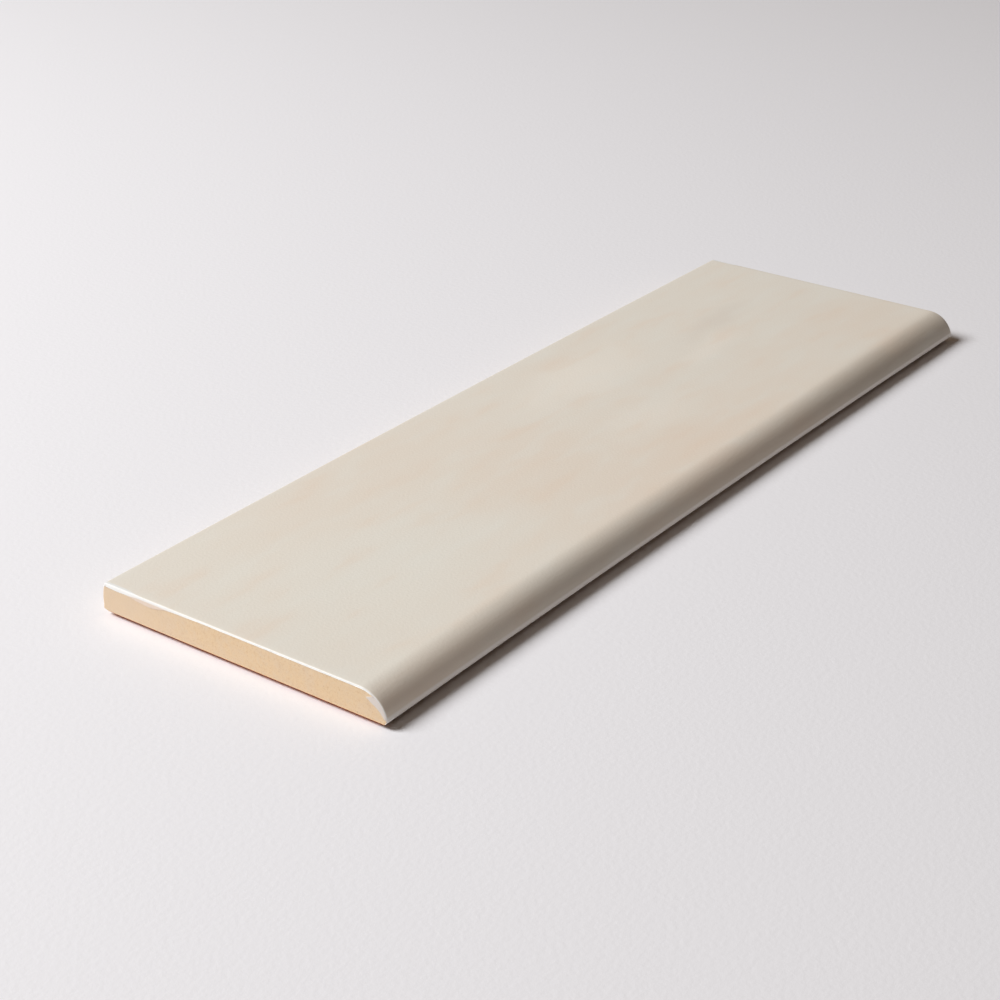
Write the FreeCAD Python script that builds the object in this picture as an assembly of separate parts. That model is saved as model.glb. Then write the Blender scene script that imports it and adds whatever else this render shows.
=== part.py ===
"""Bullnose tile: a pressed and fired wall trim tile with one long edge rounded over.

The tile lies on its back. X runs along its length, Y across its width and Z up through its thickness.
The bullnose is the front edge, at -Y, and the plain edge that butts against a field tile is at +Y.
The origin is the middle of the back. All sizes are in millimetres.
"""

import FreeCAD, Part
import math
import os

# Overall size
LENGTH = 302.0
WIDTH = 96.0
THICKNESS = 9.5

# Bullnose: nearly a quarter round, from the face down to a bevelled toe
NOSE_RADIUS = 8.6
TOE_WIDTH = 2.2
TOE_HEIGHT = 2.5

# Plain edge: bowed in the press, with its widest line below the middle and a wide bevel to the back
WAIST_HEIGHT = 4.1
EDGE_BOW_RADIUS = 15.0
EDGE_ROUND = 0.7
EDGE_BEVEL_WIDTH = 7.0
EDGE_BEVEL_HEIGHT = 1.75

# Butt ends: straight, with the arris under the glaze softened and a bevel to the back
END_ROUND = 0.5
END_BEVEL_WIDTH = 4.5
END_BEVEL_HEIGHT = 1.3

# Keys: shallow tapered grooves pressed into the back for the adhesive
KEY_COUNT = 8
KEY_PITCH = 10.0
KEY_WIDTH = 5.0
KEY_DEPTH = 0.5
KEY_TAPER = 0.4
KEY_END_LAND = 9.0

HALF_LENGTH = LENGTH / 2
HALF_WIDTH = WIDTH / 2
QUARTER_TURN = math.pi / 2
CLOSE = 1e-6


def in_section(y, z):
    """A point of the cross-section, at the left-hand end of the tile."""
    return FreeCAD.Vector(-HALF_LENGTH, y, z)


def section_line(start, end):
    return Part.LineSegment(in_section(*start), in_section(*end)).toShape()


def section_arc(centre, radius, start, end):
    """A circular arc of the cross-section between two angles."""
    points = [
        in_section(centre[0] + radius * math.cos(angle), centre[1] + radius * math.sin(angle))
        for angle in (start, (start + end) / 2, end)
    ]
    return Part.Arc(*points).toShape()


def bullnose_outline():
    """The front of the section, from the back up the toe's bevel and round the nose to the face."""
    toe_foot = (TOE_WIDTH - HALF_WIDTH, 0)
    nose_foot = (-HALF_WIDTH, TOE_HEIGHT)
    centre_height = THICKNESS - NOSE_RADIUS
    toe_angle = math.asin((TOE_HEIGHT - centre_height) / NOSE_RADIUS)
    nose_centre = (NOSE_RADIUS * math.cos(toe_angle) - HALF_WIDTH, centre_height)
    nose = section_arc(nose_centre, NOSE_RADIUS, math.pi - toe_angle, QUARTER_TURN)
    nose_top = (nose_centre[0], THICKNESS)
    return [section_line(toe_foot, nose_foot), nose], toe_foot, nose_top


def plain_edge_outline():
    """The rear of the section, from the back's bevel up the bowed edge to the face.

    The small round at the top is tangent to the bowed edge and to the flat face.
    """
    bow_centre = (HALF_WIDTH - EDGE_BOW_RADIUS, WAIST_HEIGHT)
    round_radius_line = EDGE_BOW_RADIUS - EDGE_ROUND
    low = math.asin((EDGE_BEVEL_HEIGHT - WAIST_HEIGHT) / EDGE_BOW_RADIUS)
    high = math.asin((THICKNESS - EDGE_ROUND - WAIST_HEIGHT) / round_radius_line)
    round_centre = (bow_centre[0] + round_radius_line * math.cos(high), THICKNESS - EDGE_ROUND)
    bevel_top = (bow_centre[0] + EDGE_BOW_RADIUS * math.cos(low), EDGE_BEVEL_HEIGHT)
    bevel_foot = (bevel_top[0] - EDGE_BEVEL_WIDTH, 0)
    outline = [
        section_line(bevel_foot, bevel_top),
        section_arc(bow_centre, EDGE_BOW_RADIUS, low, high),
        section_arc(round_centre, EDGE_ROUND, high, QUARTER_TURN),
    ]
    return outline, bevel_foot, (round_centre[0], THICKNESS)


def pressed_blank():
    """The cross-section drawn out to the tile's length."""
    front, front_foot, front_top = bullnose_outline()
    rear, rear_foot, rear_top = plain_edge_outline()
    back = section_line(front_foot, rear_foot)
    face = section_line(front_top, rear_top)
    section = Part.Wire(Part.__sortEdges__([*front, face, *rear, back]))
    return Part.Face(section).extrude(FreeCAD.Vector(LENGTH, 0, 0))


def end_bevel(side):
    """The wedge taken off the back at one butt end."""
    end = side * HALF_LENGTH
    corners = [(end, 0), (end, END_BEVEL_HEIGHT), (end - side * END_BEVEL_WIDTH, 0)]
    outline = [FreeCAD.Vector(x, -WIDTH, z) for x, z in corners]
    wedge = Part.Face(Part.makePolygon([*outline, outline[0]]))
    return wedge.extrude(FreeCAD.Vector(0, 2 * WIDTH, 0))


def end_arrises(tile):
    """The edges of both butt ends that rise above the bevelled back."""
    return [
        edge
        for edge in tile.Edges
        if abs(abs(edge.CenterOfMass.x) - HALF_LENGTH) < CLOSE and edge.BoundBox.ZMax > TOE_HEIGHT + CLOSE
    ]


def slot_outline(y, z, half_run, radius):
    """A slot along the tile with round ends, as a closed wire."""
    right, left = FreeCAD.Vector(half_run, y, z), FreeCAD.Vector(-half_run, y, z)
    across, along = FreeCAD.Vector(0, radius, 0), FreeCAD.Vector(radius, 0, 0)
    return Part.Wire(
        [
            Part.LineSegment(left - across, right - across).toShape(),
            Part.Arc(right - across, right + along, right + across).toShape(),
            Part.LineSegment(right + across, left + across).toShape(),
            Part.Arc(left + across, left - along, left - across).toShape(),
        ]
    )


def back_key(index):
    """One groove of the back, wider at its mouth than at its floor."""
    y = (index - (KEY_COUNT - 1) / 2) * KEY_PITCH
    mouth = KEY_WIDTH / 2
    half_run = HALF_LENGTH - KEY_END_LAND - mouth
    return Part.makeLoft(
        [slot_outline(y, 0, half_run, mouth), slot_outline(y, KEY_DEPTH, half_run, mouth - KEY_TAPER)],
        True,
        True,
    )


def bullnose_tile():
    tile = pressed_blank().cut([end_bevel(-1), end_bevel(1)])
    tile = tile.makeFillet(END_ROUND, end_arrises(tile))
    return tile.cut([back_key(index) for index in range(KEY_COUNT)])


os.makedirs("parts", exist_ok=True)
bullnose_tile().exportStep("parts/bullnose_tile.step")
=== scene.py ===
# %% [markdown]
# # A bullnose tile
#
# The object is one fired piece: a flat wall trim tile with a satin glaze on its face. One long edge, the
# bullnose, is rounded over and glazed too, so that it can finish the edge of a tiled wall. Both ends are
# bare clay, with the rounded lip of the glaze along their top.
#
# The tile could be a plain box with a painted edge, but then the lip, the nose and the grooves of the
# back would only be pictures of themselves. Here it is one closed mesh, shaped with bmesh operators in
# the order in which a tile is made: pressed, trimmed, keyed on its back and glazed. The frame is the
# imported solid, in metres: X along the tile, Y from the bullnose to the plain edge, Z up out of the face.

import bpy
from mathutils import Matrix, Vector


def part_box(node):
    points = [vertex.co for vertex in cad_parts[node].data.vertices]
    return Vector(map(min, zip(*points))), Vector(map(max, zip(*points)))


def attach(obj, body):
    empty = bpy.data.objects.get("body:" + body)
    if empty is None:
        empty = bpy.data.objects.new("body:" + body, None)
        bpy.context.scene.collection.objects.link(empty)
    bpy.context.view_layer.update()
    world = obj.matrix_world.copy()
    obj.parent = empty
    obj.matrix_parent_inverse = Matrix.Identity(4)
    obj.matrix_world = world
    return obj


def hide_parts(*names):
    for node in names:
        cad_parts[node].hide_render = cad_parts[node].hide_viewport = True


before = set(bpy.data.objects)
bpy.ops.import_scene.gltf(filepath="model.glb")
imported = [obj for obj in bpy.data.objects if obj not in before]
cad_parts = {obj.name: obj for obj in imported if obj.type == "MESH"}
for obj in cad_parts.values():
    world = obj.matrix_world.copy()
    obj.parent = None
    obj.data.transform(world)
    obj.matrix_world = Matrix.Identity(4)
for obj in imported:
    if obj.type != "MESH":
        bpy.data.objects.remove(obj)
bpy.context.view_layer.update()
print("nodes of the frame:", sorted(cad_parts))

# %% Take the main sizes from the solid
import math
import bmesh
import bpy
from mathutils import Matrix, Vector, noise

MM = 0.001
low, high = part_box("bullnose_tile")
END = high.x
FRONT = low.y
TOP = high.z
print(f"half length {END / MM:.1f}, half width {-FRONT / MM:.1f}, thickness {TOP / MM:.1f} mm")

# %% [markdown]
# ## The pressed section
#
# The press gives the tile one cross-section along its whole length, so drawing that outline once and
# sweeping it is the natural way. The bullnose is nearly a quarter round, cut off by a small toe. Spinning
# a single vertex draws it, with no list of points along the curve.

# %% Draw the bullnose
ALONG = (1, 0, 0)
QUARTER_TURN = math.pi / 2
NOSE_RADIUS = 8.6 * MM
NOSE_STEPS = 24
TOE_HEIGHT = 2.5 * MM

nose_z = TOP - NOSE_RADIUS
toe_angle = math.asin((TOE_HEIGHT - nose_z) / NOSE_RADIUS)
nose_y = FRONT + NOSE_RADIUS * math.cos(toe_angle)
tile = bmesh.new()


def arc(start, centre, axis, turn, steps):
    """Draws an arc from a vertex and returns the vertex at its far end."""
    drawn = bmesh.ops.spin(tile, geom=[start], cent=centre, axis=axis, angle=turn, steps=steps)
    return drawn["geom_last"][0]


nose_foot = tile.verts.new((-END, FRONT, TOE_HEIGHT))
nose_top = arc(nose_foot, (-END, nose_y, nose_z), ALONG, toe_angle - QUARTER_TURN, NOSE_STEPS)
print("bullnose drawn with", len(tile.edges), "edges")

# %% [markdown]
# ## The plain edge
#
# The other long edge butts against a field tile. The press leaves it slightly bowed, with its widest line
# below the middle, and the glaze rounds its top. Both are arcs, so the section goes on from the end of
# the face by two more spins. The straight pieces are vertices extruded to their place.

# %% Draw the face and the plain edge
WAIST_HEIGHT = 4.1 * MM
BOW_RADIUS = 15.0 * MM
EDGE_ROUND = 0.7 * MM
EDGE_BEVEL_HEIGHT = 1.75 * MM
ROUND_STEPS = 5
BOW_STEPS = 12

bow_y = -FRONT - BOW_RADIUS
bow_low = math.asin((EDGE_BEVEL_HEIGHT - WAIST_HEIGHT) / BOW_RADIUS)
bow_high = math.asin((TOP - EDGE_ROUND - WAIST_HEIGHT) / (BOW_RADIUS - EDGE_ROUND))
round_y = bow_y + (BOW_RADIUS - EDGE_ROUND) * math.cos(bow_high)


def line(start, y, z):
    """Draws a straight line of the section from a vertex and returns the vertex at its far end."""
    end = bmesh.ops.extrude_vert_indiv(tile, verts=[start])["verts"][0]
    end.co = (-END, y, z)
    return end


round_top = line(nose_top, round_y, TOP)
bow_top = arc(round_top, (-END, round_y, TOP - EDGE_ROUND), ALONG, bow_high - QUARTER_TURN, ROUND_STEPS)
bevel_top = arc(bow_top, (-END, bow_y, WAIST_HEIGHT), ALONG, bow_low - bow_high, BOW_STEPS)
print("section now has", len(tile.edges), "edges")

# %% Close the section along the back
EDGE_BEVEL_WIDTH = 7.0 * MM
TOE_WIDTH = 2.2 * MM
TOE_GLAZED = 0.38
FACE_STEPS = 112

bevel_foot = line(bevel_top, bevel_top.co.y - EDGE_BEVEL_WIDTH, 0)
toe_foot = line(bevel_foot, FRONT + TOE_WIDTH, 0)
toe_line = line(toe_foot, FRONT + TOE_WIDTH * TOE_GLAZED, TOE_HEIGHT * (1 - TOE_GLAZED))
toe_line_height = toe_line.co.z
tile.edges.new((toe_line, nose_foot))
face_line = tile.edges.get((nose_top, round_top))
bmesh.ops.subdivide_edges(tile, edges=[face_line], cuts=FACE_STEPS - 1)
print("closed section of", len(tile.edges), "edges")

# %% [markdown]
# ## The blank
#
# An extrusion would leave faces as long as the tile, with nothing between their ends to shape later. Spin
# also takes a step, so a spin that doesn't turn sweeps the section along X in rows of 2 mm and leaves a
# fine grid. The two ends are then filled.

# %% Sweep the section along the tile
ROWS = 151
CUBIC_CM = (10 * MM) ** 3


def edges_of(geometry):
    """Only the edges of a list that holds other geometry too."""
    return [part for part in geometry if isinstance(part, bmesh.types.BMEdge)]


def turn_faces_out():
    """Points every face of the tile outwards."""
    bmesh.ops.recalc_face_normals(tile, faces=tile.faces[:])


def volume():
    """The volume that the tile's mesh encloses, in cubic centimetres."""
    return round(tile.calc_volume() / CUBIC_CM, 1)


section = tile.verts[:] + tile.edges[:]
step = (2 * END / ROWS, 0, 0)
swept = bmesh.ops.spin(tile, geom=section, cent=(0, 0, 0), axis=ALONG, dvec=step, angle=0, steps=ROWS)
for outline in (section, swept["geom_last"]):
    bmesh.ops.edgeloop_fill(tile, edges=edges_of(outline))
turn_faces_out()
print("blank of", len(tile.faces), "faces, volume", volume(), "cubic cm")

# %% [markdown]
# ## Trimming the ends
#
# At both ends a wide, low bevel lifts the edge of the back off the table, which is the thin dark line
# under the clay. Cutting with a plane is exact and leaves the rest of the grid alone. Above it the arris
# under the glaze is soft, so the edges that follow face, nose and plain edge get a small round bevel.

# %% Bevel the back at the ends
CLOSE = 1e-6
NEAR, FAR = -1, 1
END_BEVEL_WIDTH = 4.5 * MM
END_BEVEL_HEIGHT = 1.3 * MM

for side in (NEAR, FAR):
    cut = bmesh.ops.bisect_plane(
        tile,
        geom=tile.verts[:] + tile.edges[:] + tile.faces[:],
        dist=CLOSE,
        plane_co=(side * (END - END_BEVEL_WIDTH), 0, 0),
        plane_no=(side * END_BEVEL_HEIGHT, 0, -END_BEVEL_WIDTH),
        clear_outer=True,
    )
    bmesh.ops.edgeloop_fill(tile, edges=edges_of(cut["geom_cut"]))
turn_faces_out()
print("volume after the end bevels", volume(), "cubic cm")

# %% Round the arris of each end
END_ROUND = 0.45 * MM
ARRIS_STEPS = 5


def at_end(place):
    """Whether a place lies in the plane of either end."""
    return abs(abs(place.x) - END) < CLOSE


def highest(part):
    """The height of the highest vertex of an edge or a face."""
    return max(vertex.co.z for vertex in part.verts)


arrises = [
    edge
    for edge in tile.edges
    if all(at_end(vertex.co) for vertex in edge.verts) and highest(edge) > TOE_HEIGHT + CLOSE
]
bmesh.ops.bevel(
    tile,
    geom=arrises,
    offset=END_ROUND,
    offset_type="OFFSET",
    segments=ARRIS_STEPS,
    profile=0.5,
    affect="EDGES",
    material=-1,
)
bmesh.ops.remove_doubles(tile, verts=tile.verts[:], dist=CLOSE)
turn_faces_out()
print("rounded", len(arrises), "edges of the two ends")

# %% [markdown]
# ## The keyed back
#
# Pressed wall tiles have shallow grooves in their back for the adhesive. Cutting them as booleans would
# break up the whole grid. The back is flat, so it is taken out, the grooves' mouths are drawn in its
# plane, and a fill between rim and mouths closes it again. Each groove is a mouth bridged to a slightly
# smaller floor.

# %% Key the back
KEY_COUNT = 8
KEY_PITCH = 10 * MM
KEY_WIDTH = 5 * MM
KEY_DEPTH = 0.5 * MM
KEY_TAPER = 0.4 * MM
KEY_END_LAND = 9 * MM
KEY_END_STEPS = 10
UP = (0, 0, 1)
DOWN = (0, 0, -1)


def slot_outline(y, z, radius):
    """Draws a slot with round ends, level with the back, and returns its edges."""
    run = END - KEY_END_LAND - KEY_WIDTH / 2
    before = set(tile.edges)
    right = tile.verts.new((run, y - radius, z))
    right_end = arc(right, (run, y, z), UP, math.pi, KEY_END_STEPS)
    left = tile.verts.new((-run, y + radius, z))
    left_end = arc(left, (-run, y, z), UP, math.pi, KEY_END_STEPS)
    tile.edges.new((right_end, left))
    tile.edges.new((left_end, right))
    return [edge for edge in tile.edges if edge not in before]


flat_back = [face for face in tile.faces if highest(face) < CLOSE]
bmesh.ops.delete(tile, geom=flat_back, context="FACES")
outlines = [edge for edge in tile.edges if edge.is_boundary]
for index in range(KEY_COUNT):
    key_y = (index - (KEY_COUNT - 1) / 2) * KEY_PITCH
    mouth = slot_outline(key_y, 0, KEY_WIDTH / 2)
    floor_rim = slot_outline(key_y, KEY_DEPTH, KEY_WIDTH / 2 - KEY_TAPER)
    bmesh.ops.bridge_loops(tile, edges=mouth + floor_rim)
    bmesh.ops.edgeloop_fill(tile, edges=floor_rim)
    outlines += mouth
bmesh.ops.triangle_fill(tile, edges=outlines, normal=DOWN, use_beauty=True)
turn_faces_out()
print("keyed volume", volume(), "cubic cm")

# %% [markdown]
# ## Where the glaze ends
#
# Glaze and clay are two surfaces of the same piece, and the line between them is what makes this tile
# look like a real one. It could be a mask in a material, but a line of real edges stays sharp from any
# distance. On the plain edge it follows one row of the grid, pulled down here and there where the glaze
# has run. The rows below are squeezed along with it, so that no face folds over.

# %% Say how the glaze runs
# middle along the tile, half width and depth of each run on the plain edge, in millimetres
EDGE_RUNS = [(-118, 7, 1.3), (-57, 11, 0.7), (23, 6, 1.7), (84, 9, 0.9)]
EDGE_WAVER = 0.16 * MM
EDGE_WAVER_LENGTH = 11 * MM
RUN_FADE = 6 * MM


def clamped(share):
    """A share held between 0 and 1."""
    return min(1, max(0, share))


def hump(distance, half_width):
    """A smooth hump, 1 in its middle and 0 beyond its half width."""
    return max(0, 1 - (distance / half_width) ** 2) ** 2


def run_depth(runs, place):
    """How far the glaze has run at a place, from a list of runs in millimetres."""
    humps = [depth * MM * hump(place - middle * MM, half_width * MM) for middle, half_width, depth in runs]
    return sum(humps)


def edge_run(x):
    """How far the glaze line has run down the plain edge at a place along the tile."""
    run = run_depth(EDGE_RUNS, x)
    run += EDGE_WAVER * noise.noise((x / EDGE_WAVER_LENGTH, 0, 0))
    return run * clamped((END - END_ROUND - abs(x)) / RUN_FADE)


print(f"glaze has run {edge_run(0) / MM:.2f} mm at the middle of the plain edge")

# %% Let the glaze run down the plain edge
line_angle = bow_high - (bow_high - bow_low) / BOW_STEPS
plain_line_height = WAIST_HEIGHT + BOW_RADIUS * math.sin(line_angle)

moved = 0
for vertex in tile.verts:
    out = vertex.co.y - bow_y
    rise = vertex.co.z - WAIST_HEIGHT
    angle = math.atan2(rise, out)
    on_bow = abs(math.hypot(rise, out) - BOW_RADIUS) < CLOSE
    if on_bow and bow_low < angle < line_angle + CLOSE:
        share = (angle - bow_low) / (line_angle - bow_low)
        angle -= share * edge_run(vertex.co.x) / BOW_RADIUS
        vertex.co.y = bow_y + BOW_RADIUS * math.cos(angle)
        vertex.co.z = WAIST_HEIGHT + BOW_RADIUS * math.sin(angle)
        moved += 1
print("moved", moved, "vertices of the plain edge")

# %% Mark glaze and clay
GLAZE, CLAY = 0, 1

for face in tile.faces:
    centre = face.calc_center_median()
    if centre.y > 0:
        above = highest(face) > plain_line_height + CLOSE
    else:
        above = centre.z > toe_line_height
    face.material_index = GLAZE if above and not at_end(centre) else CLAY
print("glazed faces", sum(face.material_index == GLAZE for face in tile.faces))

# %% [markdown]
# ## The lap on the ends
#
# At the ends the glaze rolls over the arris and stops in a lip just below it. On the near end it has run
# further down near the plain edge. On the nose it covers a wider band that starts in a pointed tail and
# narrows to the toe. The end is one big face, so an inset gives a ring of faces along its outline, and
# the ring's inner vertices are moved inward to where the glaze stops.

# %% Say how far the glaze laps
LIP_LAP = 0.04 * MM
LIP_WAVER = 0.04 * MM
LIP_WAVER_LENGTH = 5 * MM
BAND_WIDTH = 1.8 * MM
BAND_TOE = 0.3 * MM
BAND_FULL_HEIGHT = 7.6 * MM
BAND_START = {NEAR: 91.6 * MM, FAR: 92.4 * MM}
TAIL = {NEAR: 3.6 * MM, FAR: 0.5 * MM}
TAIL_FADE = 0.8 * MM
# middle from the plain edge, half width and depth of each run on an end, in millimetres
END_RUNS = {
    NEAR: [(4, 8, 0.52), (9, 6, 0.32), (15.5, 7.5, 1.3), (21, 7, 0.6), (29, 6, 0.15)],
    FAR: [(24, 8, 0.2), (57, 10, 0.38), (70, 5, 0.15)],
}


def end_lap(side, rim):
    """How far the glaze laps inward from a place on an end's rim, and how far it leans back there."""
    across = -FRONT - rim.y
    lap = LIP_LAP + run_depth(END_RUNS[side], across)
    lap += LIP_WAVER * noise.noise((across / LIP_WAVER_LENGTH, side, 0))
    past = across - BAND_START[side]
    if past < 0:
        return lap, 0
    full = clamped((rim.z - TOE_HEIGHT) / (BAND_FULL_HEIGHT - TOE_HEIGHT))
    lap += BAND_TOE + (BAND_WIDTH - BAND_TOE) * full
    return lap, TAIL[side] * max(0, 1 - past / TAIL_FADE)


print("glaze laps over the near end in", len(END_RUNS[NEAR]), "runs, over the far end in", len(END_RUNS[FAR]))

# %% Lap the glaze over the ends
RING = 0.05 * MM


def end_faces(side):
    """The flat faces of one end."""
    return [face for face in tile.faces if abs(face.calc_center_median().x - side * END) < CLOSE]


def end_cap(side):
    """The largest flat face of one end."""
    return max(end_faces(side), key=lambda face: face.calc_area())


def glazed(rim):
    """Whether a place on an end's rim lies above the glaze line."""
    if rim.y > 0:
        return rim.z > plain_line_height - CLOSE
    return rim.z > TOE_HEIGHT - CLOSE


for side in (NEAR, FAR):
    inset = bmesh.ops.inset_region(tile, faces=[end_cap(side)], thickness=RING, use_even_offset=True)
    inside = set(end_cap(side).verts)
    for inner in inside:
        spoke = next(edge for edge in inner.link_edges if edge.other_vert(inner) not in inside)
        rim = spoke.other_vert(inner).co
        if glazed(rim):
            lap, lean = end_lap(side, rim)
            inward = (inner.co - rim).normalized()
            aside = Vector((0, -inward.z, inward.y))
            inner.co = rim + inward * lap + aside * (lean if aside.y > 0 else -lean)
    for face in inset["faces"]:
        outer = [vertex for vertex in face.verts if vertex not in inside]
        face.material_index = GLAZE if all(glazed(vertex.co) for vertex in outer) else CLAY
    print("end", side, "has a ring of", len(inset["faces"]), "faces")

# %% [markdown]
# ## The lip
#
# Molten glaze draws back from its edge into a bead, so the glaze stands a little proud of the clay all
# along the line. Insetting all the clay faces as one region puts a narrow strip along that line. The
# strip becomes the front of the bead, and its glaze side is pushed out along the normals.

# %% Raise the lip
LIP_FRONT = 0.06 * MM
LIP_HEIGHT = 0.09 * MM

clay_faces = [face for face in tile.faces if face.material_index == CLAY]
strip = bmesh.ops.inset_region(
    tile, faces=clay_faces, thickness=LIP_FRONT, use_even_offset=True, use_boundary=True
)
strip_faces = set(strip["faces"])
for face in strip_faces:
    face.material_index = GLAZE
tile.normal_update()
bead = set()
for face in strip_faces:
    for vertex in face.verts:
        if any(other.material_index == GLAZE and other not in strip_faces for other in vertex.link_faces):
            bead.add(vertex)
for vertex in bead:
    vertex.co += vertex.normal * LIP_HEIGHT
print("bead of", len(bead), "vertices")

# %% [markdown]
# ## Skin and grain
#
# A real face isn't a perfect plane: the glaze settles in long shallow waves, of a few hundredths of a
# millimetre, that show only in how the light slides over it. The clay ends are pressed powder, with fine
# grain and a few pits. Both are moved vertices, read from smooth noise. The ends need a grid for that
# first, which plane cuts give.

# %% Settle the glaze
WAVE_HEIGHT = 0.035 * MM
WAVE_ALONG = 38 * MM
WAVE_ACROSS = 15 * MM
WAVE_FADE = 4 * MM


def all_of(vertex, finish):
    """Whether all faces round a vertex have one finish."""
    return all(face.material_index == finish for face in vertex.link_faces)


waves = Vector((1 / WAVE_ALONG, 1 / WAVE_ACROSS, 1 / WAVE_ACROSS))
tile.normal_update()
waved = 0
for vertex in tile.verts:
    from_edge = min(END - END_ROUND - abs(vertex.co.x), round_y - vertex.co.y)
    if all_of(vertex, GLAZE) and from_edge > 0:
        height = WAVE_HEIGHT * clamped(from_edge / WAVE_FADE) * noise.noise(vertex.co * waves)
        vertex.co += vertex.normal * height
        waved += 1
print("waved", waved, "vertices of the glaze")

# %% Grain the clay ends
ACROSS = (0, 1, 0)
GRAIN_GAP = 0.6 * MM
GRAIN_SIZE = 1.1 * MM
GRAIN_RELIEF = 0.025 * MM
PIT_SIZE = 2.3 * MM
PIT_LEVEL = 0.52
PIT_DEPTH = 0.25 * MM


def cut_end(side, place, normal):
    """Cuts the clay of one end along a plane."""
    clay = [face for face in end_faces(side) if face.material_index == CLAY]
    edges = {edge for face in clay for edge in face.edges}
    vertices = {vertex for face in clay for vertex in face.verts}
    geometry = [*vertices, *edges, *clay]
    bmesh.ops.bisect_plane(tile, geom=geometry, dist=CLOSE, plane_co=place, plane_no=normal)


for side in (NEAR, FAR):
    for index in range(1, int(-2 * FRONT / GRAIN_GAP)):
        cut_end(side, (0, FRONT + index * GRAIN_GAP, 0), ACROSS)
    for index in range(1, int(TOP / GRAIN_GAP)):
        cut_end(side, (0, 0, index * GRAIN_GAP), UP)
    for vertex in tile.verts:
        if abs(vertex.co.x - side * END) < CLOSE and all_of(vertex, CLAY):
            relief = GRAIN_RELIEF * noise.noise(vertex.co / GRAIN_SIZE)
            pit = max(0, noise.noise(vertex.co / PIT_SIZE) - PIT_LEVEL)
            vertex.co.x += side * (relief - PIT_DEPTH * pit)
print("tile of", len(tile.faces), "faces")

# %% [markdown]
# ## The bend
#
# Tiles warp a little in the kiln. The long edges of this one bow by less than a millimetre, with its
# middle towards the plain edge. One parabola along the tile moves every vertex, glaze and clay together,
# so the back stays flat.

# %% Bend the tile as the kiln does
BEND = 0.8 * MM

for vertex in tile.verts:
    vertex.co.y += BEND * (1 - (vertex.co.x / END) ** 2)
print("plain edge bent out to", round(max(vertex.co.y for vertex in tile.verts) / MM, 2), "mm")

# %% [markdown]
# ## The finished mesh
#
# Everything is shaded smooth except where the surface turns sharply, as at the grooves and along the
# lip's foot. The mesh then becomes one object that stands in for the solid and rides on its body.

# %% Make the tile's object
SHARP = math.radians(28)


def add_object(name, data):
    """A new object of the scene, at the origin."""
    added = bpy.data.objects.new(name, data)
    bpy.context.scene.collection.objects.link(added)
    return added


for face in tile.faces:
    face.smooth = True
for edge in tile.edges:
    edge.smooth = edge.calc_face_angle(0) < SHARP
open_edges = sum(not edge.is_manifold for edge in tile.edges)
fired_mesh = bpy.data.meshes.new("fired_tile")
tile.to_mesh(fired_mesh)
print("volume", volume(), "cubic cm, open edges", open_edges)
tile.free()

fired_tile = add_object("fired_tile", fired_mesh)
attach(fired_tile, "root")
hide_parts("bullnose_tile")
fired_mesh.calc_loop_triangles()
print("triangles", len(fired_mesh.loop_triangles))

# %% [markdown]
# ## Writing finishes
#
# A finish is a small sum: this colour, a little of that one where the glaze pooled, more roughness where
# it is dry. Wiring nodes by hand hides the sum. A small class wraps a socket instead, so that adding or
# multiplying two of them adds the Math node, and one method adds any other node, with its settings first
# and its sockets after.

# %% Wrap sockets so that sums make nodes
class Amount:
    """A shader socket that sums can be written with."""

    def __init__(self, recipe, socket):
        self.recipe = recipe
        self.socket = socket

    def math(self, operation, first, second):
        """Adds a Math node on two values."""
        sockets = {"Value": first, "Value_001": second}
        return self.recipe.node("ShaderNodeMath", {"operation": operation}, sockets)

    def __add__(self, other):
        return self.math("ADD", self, other)

    def __radd__(self, other):
        return self.math("ADD", other, self)

    def __sub__(self, other):
        return self.math("SUBTRACT", self, other)

    def __rsub__(self, other):
        return self.math("SUBTRACT", other, self)

    def __mul__(self, other):
        return self.math("MULTIPLY", self, other)

    def __rmul__(self, other):
        return self.math("MULTIPLY", other, self)

    def __abs__(self):
        return self.recipe.node("ShaderNodeMath", {"operation": "ABSOLUTE"}, {"Value": self})


class Recipe:
    """The nodes of one finish, or of the world."""

    def __init__(self, tree):
        self.tree = tree

    def node(self, kind, settings, sockets, output=None):
        """Adds a node, sets its settings, then fills its sockets. Sockets go by their identifiers."""
        added = self.tree.nodes.new(kind)
        for name, setting in settings.items():
            setattr(added, name, setting)
        self.fill(added, sockets)
        found = [socket for socket in added.outputs if output in (None, socket.identifier)]
        return Amount(self, found[0] if found else None)

    def fill(self, added, sockets):
        """Links or sets the sockets of a node."""
        inputs = {socket.identifier: socket for socket in added.inputs}
        for name, value in sockets.items():
            if isinstance(value, Amount):
                self.tree.links.new(value.socket, inputs[name])
            else:
                inputs[name].default_value = value


print("recipes ready")

# %% Start a finish and find places on it
def start_finish(name):
    """A new material: its recipe, its surface shader and the place on the piece in millimetres."""
    material = bpy.data.materials.new(name)
    material.use_nodes = True
    recipe = Recipe(material.node_tree)
    metres = recipe.node("ShaderNodeTexCoord", {}, {}, "Object")
    scaled = {"Vector": metres, "Scale": 1 / MM}
    place = recipe.node("ShaderNodeVectorMath", {"operation": "SCALE"}, scaled)
    return material, recipe, material.node_tree.nodes["Principled BSDF"], place


def vector_math(operation, place, other):
    """A sum on a place and another vector."""
    sockets = {"Vector": place, "Vector_001": other}
    return place.recipe.node("ShaderNodeVectorMath", {"operation": operation}, sockets)


def on_tile(place):
    """How far a place is from the nearer end, across from the middle line and up from the back."""
    parts = [place.recipe.node("ShaderNodeSeparateXYZ", {}, {"Vector": place}, axis) for axis in "XYZ"]
    along, across, up = parts
    return END / MM - abs(along), across, up


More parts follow.
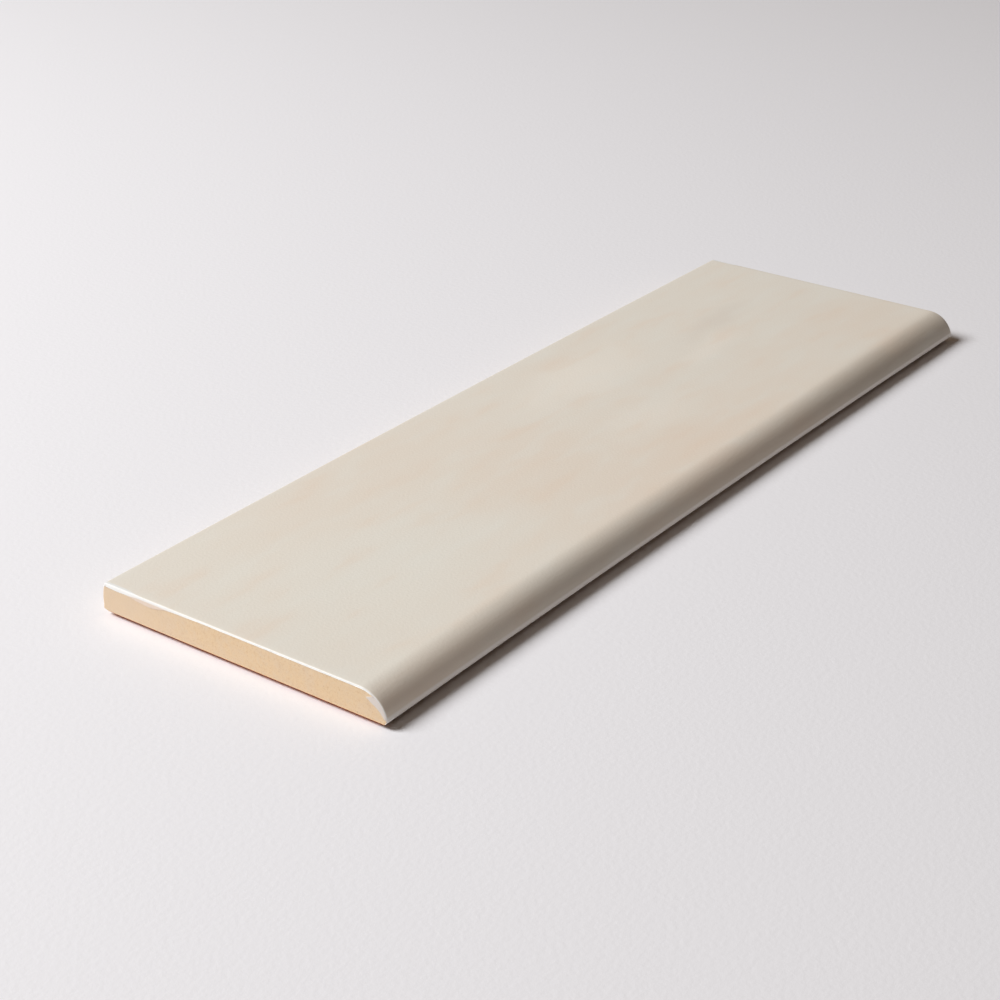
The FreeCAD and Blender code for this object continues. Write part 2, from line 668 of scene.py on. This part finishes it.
def grain(place, size, detail=2.0, output="Fac"):
    """Smooth noise, from 0 to 1, whose blots are about that size."""
    sockets = {"Vector": place, "Scale": 1 / size, "Detail": detail}
    return place.recipe.node("ShaderNodeTexNoise", {}, sockets, output)


print("places on a finish are in millimetres,", 1 / MM, "to the metre")

# %% Fade, tint and layer
NOISE_MIDDLE = 0.5
NOISE_HIGH = 0.75
NOISE_LOW = 0.3


def srgb(red, green, blue):
    """A colour as a picture shows it, from 0 to 255, as the linear colour a shader takes."""
    parts = [level / 255 for level in (red, green, blue)]
    linear = [part / 12.92 if part <= 0.04045 else ((part + 0.055) / 1.055) ** 2.4 for part in parts]
    return (*linear, 1)


def fade(value, start, end):
    """0 at the start value and 1 at the end value, with a soft turn at both."""
    limits = {"Value": value, "From Min": start, "From Max": end}
    return value.recipe.node("ShaderNodeMapRange", {"interpolation_type": "SMOOTHSTEP"}, limits)


def peaks(field):
    """1 where a noise is high, 0 below its middle."""
    return fade(field, NOISE_MIDDLE, NOISE_HIGH)


def hollows(field):
    """1 where a noise is low, 0 above its middle."""
    return fade(field, NOISE_MIDDLE, NOISE_LOW)


def tint(amount, colour, other):
    """One colour turning into another as the amount goes from 0 to 1."""
    parts = {"Factor_Float": amount, "A_Color": colour, "B_Color": other}
    return amount.recipe.node("ShaderNodeMix", {"data_type": "RGBA"}, parts, "Result_Color")


def layered(colour, layers):
    """A colour with others laid over it, each given as where it lies, how strongly, and the colour."""
    for where, strength, other in layers:
        colour = tint(where * strength, colour, other)
    return colour


def bumped(height, strength, depth):
    """A surface that is raised and lowered by a height."""
    sockets = {"Height": height, "Strength": strength, "Distance": depth}
    return height.recipe.node("ShaderNodeBump", {}, sockets)


print("white as a shader takes it:", srgb(255, 255, 255))

# %% [markdown]
# ## The washes of the glaze
#
# The glaze is a warm off-white satin with faint washes in it, greyer in some places and pinker in others,
# each drawn out along the tile. Plain noise would give the same clouds all over, so the washes are placed
# one by one as soft ovals, and noise only frays their edges. Two more ovals lie along the nose, with clean
# edges: painted light by the near end and painted shade towards the far end.

# %% Choose the glaze's colours
GLAZE_CREAM = srgb(223, 217, 206)
GLAZE_GREY = srgb(224, 223, 215)
GLAZE_WARM = srgb(223, 202, 182)
GLAZE_PALE = srgb(231, 224, 213)
GLAZE_DUSK = srgb(211, 201, 189)
# painted light and painted shade for the nose, lighter by the near end and darker towards the far end
NOSE_PAINTED_LIGHT = srgb(236, 225, 211)
NOSE_PAINTED_SHADE = srgb(202, 191, 177)
GLAZE_THIN = srgb(226, 226, 224)
GLAZE_WHITE = srgb(237, 237, 235)
GLAZE_LAP = srgb(219, 210, 203)
GLAZE_FRINGE = srgb(226, 208, 192)
GLAZE_FOOT = srgb(252, 249, 244)
print("glaze cream as a shader takes it:", [round(part, 3) for part in GLAZE_CREAM])

# %% Lay the washes
# middle and reach of each wash along and across the tile in millimetres, its colour and its strength
WASHES = [
    ((-101, -7), (62, 36), GLAZE_GREY, 0.3),
    ((-55, 32), (90, 28), GLAZE_WARM, 0.22),
    ((40, 38), (45, 9), GLAZE_WARM, 0.16),
    ((34, 24), (40, 18), GLAZE_PALE, 0.6),
    ((-25, -2), (50, 28), GLAZE_WARM, 0.32),
    ((8, -36), (120, 32), GLAZE_WARM, 0.42),
    ((24, -10), (30, 12), GLAZE_PALE, 0.35),
    ((35, 4), (34, 9), GLAZE_WARM, 0.25),
    ((90, -16), (40, 16), GLAZE_WARM, 0.16),
    ((99, 14), (28, 8), GLAZE_DUSK, 0.4),
    ((80, 3), (26, 7), GLAZE_PALE, 0.45),
    ((134, -24), (40, 30), GLAZE_WARM, 0.26),
]
# the same for the painted light and painted shade along the nose, whose edges aren't frayed
NOSE_PAINTED_SHADING = [
    ((-140, -46.5), (80, 8.5), NOSE_PAINTED_LIGHT, 0.9),
    ((116, -43.5), (90, 7.5), NOSE_PAINTED_SHADE, 0.9),
]
WASH_RIM = 1.0
WASH_CORE = 0.1
CLOUD_SIZE = 22
CLOUD_DETAIL = 3.0
CLOUD_MIDDLE = (0.5, 0.5, 0.5)
CLOUD_PUSH = (34, 15, 0)


def wash_layers(place, washes):
    """Soft ovals of colour, as layers that are full at their core and gone at their rim."""
    layers = []
    for middle, reach, colour, strength in washes:
        offset = vector_math("SUBTRACT", place, (*middle, 0))
        oval = vector_math("MULTIPLY", offset, (1 / reach[0], 1 / reach[1], 0))
        away = place.recipe.node("ShaderNodeVectorMath", {"operation": "LENGTH"}, {"Vector": oval}, "Value")
        layers.append((fade(away, WASH_RIM, WASH_CORE), strength, colour))
    return layers


satin_glaze, recipe, surface, place = start_finish("satin_glaze")
cloud = grain(place, CLOUD_SIZE, CLOUD_DETAIL, "Color")
push = vector_math("MULTIPLY", vector_math("SUBTRACT", cloud, CLOUD_MIDDLE), CLOUD_PUSH)
frayed = vector_math("ADD", place, push)
ovals = wash_layers(frayed, WASHES) + wash_layers(place, NOSE_PAINTED_SHADING)
washed = layered(GLAZE_CREAM, ovals)
print("glaze with", len(ovals), "washes")

# %% [markdown]
# ## The edges of the glaze
#
# Glaze looks different where it gets thick or thin. Along the foot of the nose it turns nearly white in a
# light line. Over the arris of the ends it is thin and nearly white. Below that it lies on the clay, as a
# duller band on the nose and, towards the plain edge, as a warm fringe under a white lip. Each of these
# is a mask, given by the heights or distances in millimetres where it starts and where it is full.

# %% Find the edges of the glaze
NOSE_SIDE = (0, -40)
FOOT_HEIGHTS = (3.8, 3.1)
ROLL_FROM_END = (0.29, 0.11)
CORNER_SIDE = (34, 40)
CORNER_WIDENS = 0.8
LAP_FROM_END = (0.08, 0.02)

to_end, across, up = on_tile(place)
foot = fade(up, *FOOT_HEIGHTS) * fade(across, *NOSE_SIDE)
corner = fade(across, *CORNER_SIDE)
rolled = fade(to_end - CORNER_WIDENS * corner, *ROLL_FROM_END)
lapped = fade(to_end, *LAP_FROM_END)
print("glaze rolls over the last", ROLL_FROM_END[0], "mm of each end")

# %% Colour the edges of the glaze
ROLL_HEIGHTS = (8.8, 6.5)
FRINGE_SIDE = (-30, 0)
WHITE_HEIGHTS = (8.15, 8.55)
WHITE_NARROWS = 0.4
NARROW_AFTER_CORNER = (41, 34)
NARROW_BEFORE_NOSE = (-40, -30)

roll_colour = tint(fade(up, *ROLL_HEIGHTS), GLAZE_THIN, GLAZE_WHITE)
narrow = fade(across, *NARROW_AFTER_CORNER) * fade(across, *NARROW_BEFORE_NOSE)
white_lip = fade(up - WHITE_NARROWS * narrow, *WHITE_HEIGHTS)
fringe = tint(fade(across, *FRINGE_SIDE), GLAZE_LAP, GLAZE_FRINGE)
lap_colour = tint(white_lip, fringe, GLAZE_WHITE)
print("white lip starts", WHITE_HEIGHTS[0], "mm up")

# %% Finish the glaze
DRIFT_STRETCH = (1 / 3, 1, 1)
DRIFT_SIZE = 9
DRIFT_DETAIL = 3.0
PEEL_SIZE = 0.8
PEEL_DEPTH = 0.05 * MM
SATIN = 0.5
DRIFT_DULLS = 0.08
PEEL_DULLS = 0.04
ROLL_SHINES = 0.14

drift = grain(vector_math("MULTIPLY", place, DRIFT_STRETCH), DRIFT_SIZE, DRIFT_DETAIL)
peel = grain(place, PEEL_SIZE)
# where each layer lies, how strongly, and its colour
glaze_layers = [
    (peaks(drift), 0.3, GLAZE_WARM),
    (hollows(drift), 0.3, GLAZE_GREY),
    (foot, 0.9, GLAZE_FOOT),
    (rolled, 1.0, roll_colour),
    (lapped, 1.0, lap_colour),
]
glaze_sockets = {
    "Base Color": layered(washed, glaze_layers),
    "Roughness": SATIN + DRIFT_DULLS * drift + PEEL_DULLS * peel - ROLL_SHINES * rolled,
    "Normal": bumped(peel, strength=1.0, depth=PEEL_DEPTH),
    "IOR": 1.5,
    "Specular IOR Level": 0.4,
}
recipe.fill(surface, glaze_sockets)
print("glaze of", len(recipe.tree.nodes), "nodes")

# %% [markdown]
# ## The clay
#
# The bare body is pressed from fine powder and fired to a pale biscuit colour. Close up it is grainy and
# mottled, with specks and tiny pits. Noise of several sizes gives the grain, and the cells of a Voronoi
# pattern give the specks, because each speck is a grain of its own. The clay is paler towards the plain
# edge. A red-brown painted shade lies on the bevels under the ends, for the contact line, and a dark
# painted shade lies on the toe under the nose.

# %% Mix the clay
CLAY_BISCUIT = srgb(229, 202, 166)
CLAY_PALE = srgb(224, 202, 176)
CLAY_DEEP = srgb(205, 168, 124)
CLAY_SPECK = srgb(170, 122, 82)
# painted shade: red-brown for the contact line under the ends, dark brown for the toe under the nose
CLAY_PAINTED_RED_SHADE = srgb(205, 114, 68)
CLAY_TOE_PAINTED_SHADE = srgb(120, 94, 74)
CLAY_DETAIL = 3.0
FINE_SIZE = 0.35
MOTTLE_SIZE = 0.9
BROAD_SIZE = 4.5
BROAD_LEVELS = (0.4, 0.7)
SPECK_GAP = 1.3
SPECK_EDGE = (0.2, 0.08)
PATCH_SIZE = 2.2
PATCH_LEVELS = (0.54, 0.64)

fired_clay, recipe, surface, place = start_finish("fired_clay")
fine = grain(place, FINE_SIZE, CLAY_DETAIL)
mottle = grain(place, MOTTLE_SIZE)
broad = grain(place, BROAD_SIZE, CLAY_DETAIL)
nearest = recipe.node("ShaderNodeTexVoronoi", {}, {"Vector": place, "Scale": 1 / SPECK_GAP}, "Distance")
speck = fade(nearest, *SPECK_EDGE) * fade(grain(place, PATCH_SIZE), *PATCH_LEVELS)
print("clay specks about", SPECK_GAP, "mm apart, in patches")

# %% Find where shade is painted on the clay
PALE_SIDE = (5, 45)
SHADE_PAINT_RISES = 0.15
SHADE_PAINT_FADE = 1
TOE_SHADE_SIDE = (-44, -46)
TOE_SHADE_FROM_END = (0.1, 0.4)

to_end, across, up = on_tile(place)
arris = END_BEVEL_HEIGHT / MM
bevel = END_BEVEL_WIDTH / MM
# painted red-brown shade along the contact line: the bevel under each end and the lowest strip above it
shade_painted = fade(up, arris + SHADE_PAINT_RISES, arris) * fade(to_end, bevel, bevel - SHADE_PAINT_FADE)
# painted dark shade on the toe, in the contact shadow under the nose
toe_shade = fade(across, *TOE_SHADE_SIDE) * fade(to_end, *TOE_SHADE_FROM_END)
print("clay is scorched up to", round(arris + SHADE_PAINT_RISES, 2), "mm on the ends")

# %% Finish the clay
SPECK_SINKS = 0.6
CLAY_RELIEF = 0.06 * MM
CLAY_DULL = 0.9
BROAD_SHINES = 0.1

# where each layer lies, how strongly, and its colour
clay_layers = [
    (fade(broad, *BROAD_LEVELS), 0.5, CLAY_PALE),
    (peaks(fine), 0.5, CLAY_DEEP),
    (peaks(mottle), 0.25, CLAY_DEEP),
    (hollows(mottle), 0.4, CLAY_PALE),
    (speck, 0.45, CLAY_SPECK),
    (fade(across, *PALE_SIDE), 0.7, CLAY_PALE),
    # the last two layers are painted shade, red-brown under the ends and dark on the toe
    (shade_painted, 0.9, CLAY_PAINTED_RED_SHADE),
    (toe_shade, 1.0, CLAY_TOE_PAINTED_SHADE),
]
clay_sockets = {
    "Base Color": layered(CLAY_BISCUIT, clay_layers),
    "Roughness": CLAY_DULL - BROAD_SHINES * broad,
    "Normal": bumped(fine - SPECK_SINKS * speck, strength=0.5, depth=CLAY_RELIEF),
    "Specular IOR Level": 0.2,
}
recipe.fill(surface, clay_sockets)
print("clay of", len(recipe.tree.nodes), "nodes")

# %% Fire both onto the tile
for finish in (satin_glaze, fired_clay):
    fired_mesh.materials.append(finish)
print("finishes:", [material.name for material in fired_mesh.materials])

# %% [markdown]
# ## Table, camera and light
#
# The tile lies on a sheet of pale paper. One large soft light stands to the left and behind, which leaves
# the bullnose in shade and lets the rolled edge of the near end shine. The rest is a weak, warm light
# from all sides. The camera and reflections see a plain pale backdrop instead.

# %% Lay the paper
PAPER = srgb(234, 234, 238)
PAPER_RADIUS = 6.0
PAPER_SEGMENTS = 96
FIBRE_SIZE = 1.6
FIBRE_DETAIL = 3.0
FIBRE_RELIEF = 0.15 * MM

paper_bmesh = bmesh.new()
bmesh.ops.create_circle(paper_bmesh, cap_ends=True, segments=PAPER_SEGMENTS, radius=PAPER_RADIUS)
paper_mesh = bpy.data.meshes.new("paper")
paper_bmesh.to_mesh(paper_mesh)
paper_bmesh.free()
paper = add_object("paper", paper_mesh)

pale_paper, recipe, surface, place = start_finish("pale_paper")
fibre = grain(place, FIBRE_SIZE, FIBRE_DETAIL)
paper_sockets = {
    "Base Color": PAPER,
    "Roughness": 0.95,
    "Normal": bumped(fibre, strength=0.45, depth=FIBRE_RELIEF),
    "Specular IOR Level": 0.1,
}
recipe.fill(surface, paper_sockets)
paper_mesh.materials.append(pale_paper)
print("paper", 2 * PAPER_RADIUS, "m across")

# %% Set up the camera
AIM = Vector((-51.68 * MM, -7.38 * MM, TOP))
VIEW_AZIMUTH = math.radians(-143.273)
VIEW_ELEVATION = math.radians(26.49)
VIEW_ROLL = math.radians(0.254)
VIEW_DISTANCE = 0.58882
LENS = 75.78


def direction(azimuth, elevation):
    """A unit vector at an angle round from +X and an angle up from the table."""
    level = math.cos(elevation)
    return Vector((math.cos(azimuth) * level, math.sin(azimuth) * level, math.sin(elevation)))


camera_data = bpy.data.cameras.new("camera")
camera_data.lens = LENS
camera = add_object("camera", camera_data)
to_camera = direction(VIEW_AZIMUTH, VIEW_ELEVATION)
camera.location = AIM + to_camera * VIEW_DISTANCE
turn = to_camera.to_track_quat("Z", "Y").to_matrix() @ Matrix.Rotation(-VIEW_ROLL, 3, "Z")
camera.rotation_euler = turn.to_euler()
bpy.context.scene.camera = camera
print("camera at", [round(part, 4) for part in camera.location])

# %% Light the tile
LIGHT_AZIMUTH = math.radians(130)
LIGHT_ELEVATION = math.radians(44)
LIGHT_DISTANCE = 2.2
LIGHT_SIZE = 0.99
LIGHT_POWER = 60.0

light_data = bpy.data.lights.new("soft_light", "AREA")
light_data.shape = "SQUARE"
light_data.size = LIGHT_SIZE
light_data.energy = LIGHT_POWER
light = add_object("soft_light", light_data)
to_light = direction(LIGHT_AZIMUTH, LIGHT_ELEVATION)
light.location = to_light * LIGHT_DISTANCE
light.rotation_euler = to_light.to_track_quat("Z", "Y").to_euler()
print("soft light of", LIGHT_POWER, "W at", [round(part, 2) for part in light.location])

# %% Fill the room with weak light
FILL = 0.1
FILL_COLOUR = (1.0, 0.72, 0.5, 1)
BACKDROP = 0.62
BACKDROP_COLOUR = (1, 1, 1, 1)
SEEN_BY = ("Is Camera Ray", "Is Glossy Ray", "Is Transmission Ray")

world = bpy.data.worlds.new("studio")
bpy.context.scene.world = world
world.use_nodes = True
world.node_tree.nodes.clear()
recipe = Recipe(world.node_tree)
fill = recipe.node("ShaderNodeBackground", {}, {"Color": FILL_COLOUR, "Strength": FILL})
backdrop = recipe.node("ShaderNodeBackground", {}, {"Color": BACKDROP_COLOUR, "Strength": BACKDROP})
camera_ray, glossy_ray, clear_ray = [recipe.node("ShaderNodeLightPath", {}, {}, ray) for ray in SEEN_BY]
seen = camera_ray + glossy_ray + clear_ray
studio = recipe.node("ShaderNodeMixShader", {}, {"Fac": seen, "Shader": fill, "Shader_001": backdrop})
recipe.node("ShaderNodeOutputWorld", {}, {"Surface": studio})
print("fill", FILL, "and backdrop", BACKDROP)

# %% [markdown]
# ## Finish
#
# The view uses the Standard transform.

# %% Set the view transform
bpy.context.scene.view_settings.view_transform = "Standard"
bpy.context.view_layer.update()
